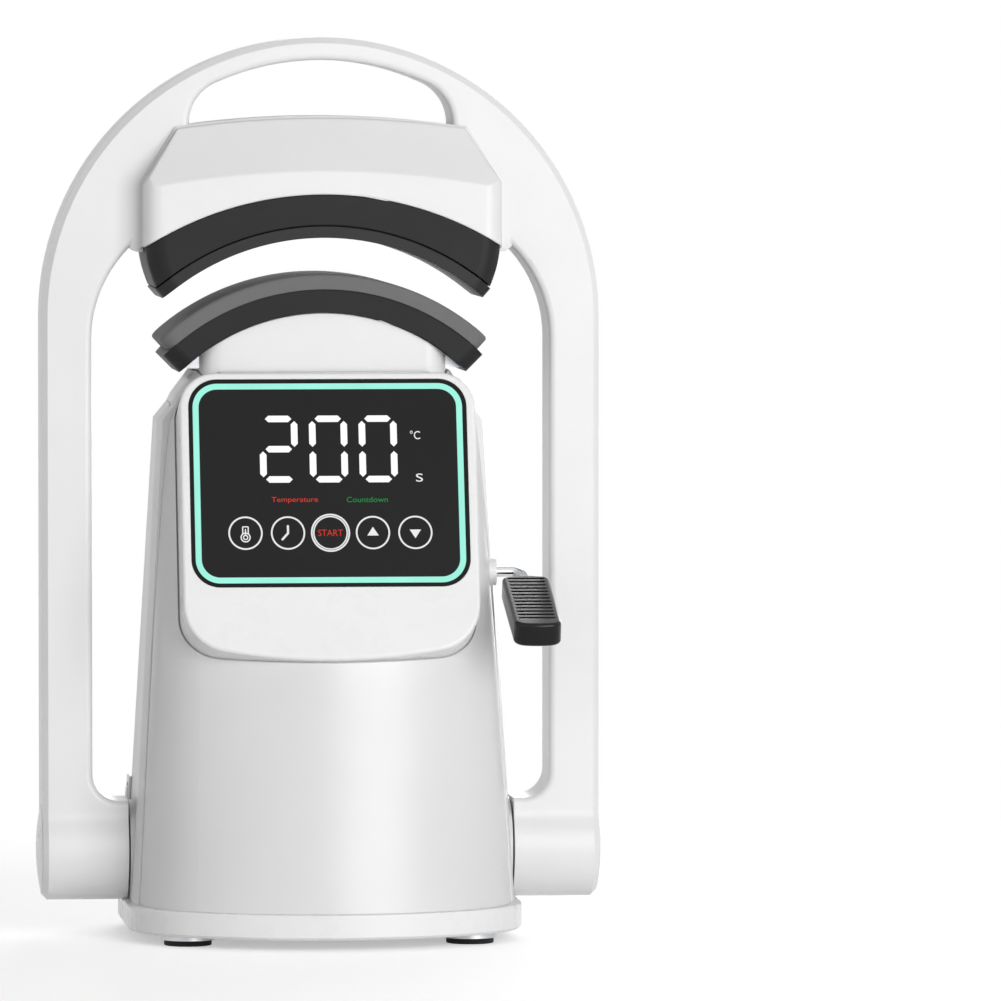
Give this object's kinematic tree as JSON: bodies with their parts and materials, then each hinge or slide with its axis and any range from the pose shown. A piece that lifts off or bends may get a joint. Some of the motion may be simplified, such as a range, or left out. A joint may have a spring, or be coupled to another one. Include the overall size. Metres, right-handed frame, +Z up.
{
  "type": "cap heat press",
  "caption": "Upright cap heat press: tapered column with leaning touch panel, curved silicone pad on a lifting ram, side lever, and a tilting arch that carries the curved heating plate.",
  "frame": {"origin": "on the table, under the middle of the footprint", "axes": "+Z up, -Y towards the user (the touch panel's side), +X to the user's right"},
  "size_m": [0.259, 0.206, 0.4096],
  "materials": {
    "white_shell": "fine satin",
    "white_trim": "fine satin",
    "black_plastic": "fine matte",
    "grip_plastic": "satin with ribs",
    "plate_coating": "dark non-stick coating",
    "silicone": "matte",
    "rubber": "matte",
    "steel": "zinc plated",
    "bright_steel": "polished",
    "bronze": "sintered",
    "black_glass": "polished, dark",
    "mint_light": "glowing light guide",
    "circuit_board": "solder resist",
    "component": "matte",
    "insulation": "ceramic fibre"
  },
  "bodies": {
    "base": {"plinth": "white_trim", "base_pan": "steel", "foot_cups": "steel", "rubber_feet": "rubber", "foot_screws": "steel", "front_shell": "white_shell", "rear_shell": "white_shell", "side_cover_left": "white_shell", "side_cover_right": "white_shell", "bezel": "white_trim", "glass_panel": "black_glass", "light_ring": "mint_light", "touch_board": "circuit_board", "display_driver": "component", "side_frame_left": "steel", "side_frame_right": "steel", "guide_plates": "steel", "rod_bushes": "bronze", "pivot_shafts": "bright_steel", "pivot_washers": "steel", "pivot_screws": "steel", "lever_hanger": "steel", "lever_bushes": "bronze", "lever_collar": "white_shell", "lever_spring": "steel", "switch_housing": "white_trim", "power_inlet": "black_plastic", "inlet_pins": "steel", "board_standoffs": "steel", "power_board": "circuit_board", "power_components": "component"},
    "arch": {"arch_front": "white_shell", "arch_rear": "white_shell", "arch_screws": "steel", "boss_caps": "white_trim", "arch_frame": "steel", "pivot_bushes": "bronze", "hood_front": "white_shell", "hood_rear": "white_shell", "hood_screws": "steel", "heat_shield": "black_plastic", "heating_plate": "plate_coating", "heater_tubes": "bright_steel", "insulation_pad": "insulation", "thermal_cutout": "component", "platen_bolts": "steel"},
    "ram": {"neck": "white_shell", "saddle": "steel", "pad_base": "black_plastic", "pad_silicone": "silicone", "pad_screws": "steel", "ram_rods": "bright_steel", "crosshead": "steel"},
    "lever": {"lever_shaft": "bright_steel", "lift_cam": "steel", "lever_rod": "bright_steel", "lever_grip": "grip_plastic"},
    "rocker": {"power_rocker": "white_trim"}
  },
  "joints": [
    {"name": "arch_tilt", "type": "hinge", "parent": "base", "child": "arch", "pos_m": [0, 0, 0.0391], "axis": [-1, 0, 0], "range_deg": [0, 45]},
    {"name": "lever_turn", "type": "hinge", "parent": "base", "child": "lever", "pos_m": [0, -0.026, 0.1663], "axis": [1, 0, 0], "range_deg": [0, 50]},
    {"name": "ram_lift", "type": "slide", "parent": "base", "child": "ram", "axis": [0, 0, 1], "range_m": [0, 0.0155]},
    {"name": "rocker_tip", "type": "hinge", "parent": "base", "child": "rocker", "pos_m": [-0.08136, 0.031, 0.0578], "axis": [0, 1, 0], "range_deg": [0, 18]}
  ],
  "couplings": [
    {"joint": "lever_turn", "follows": "ram_lift", "rad_per_m": 56.3}
  ]
}
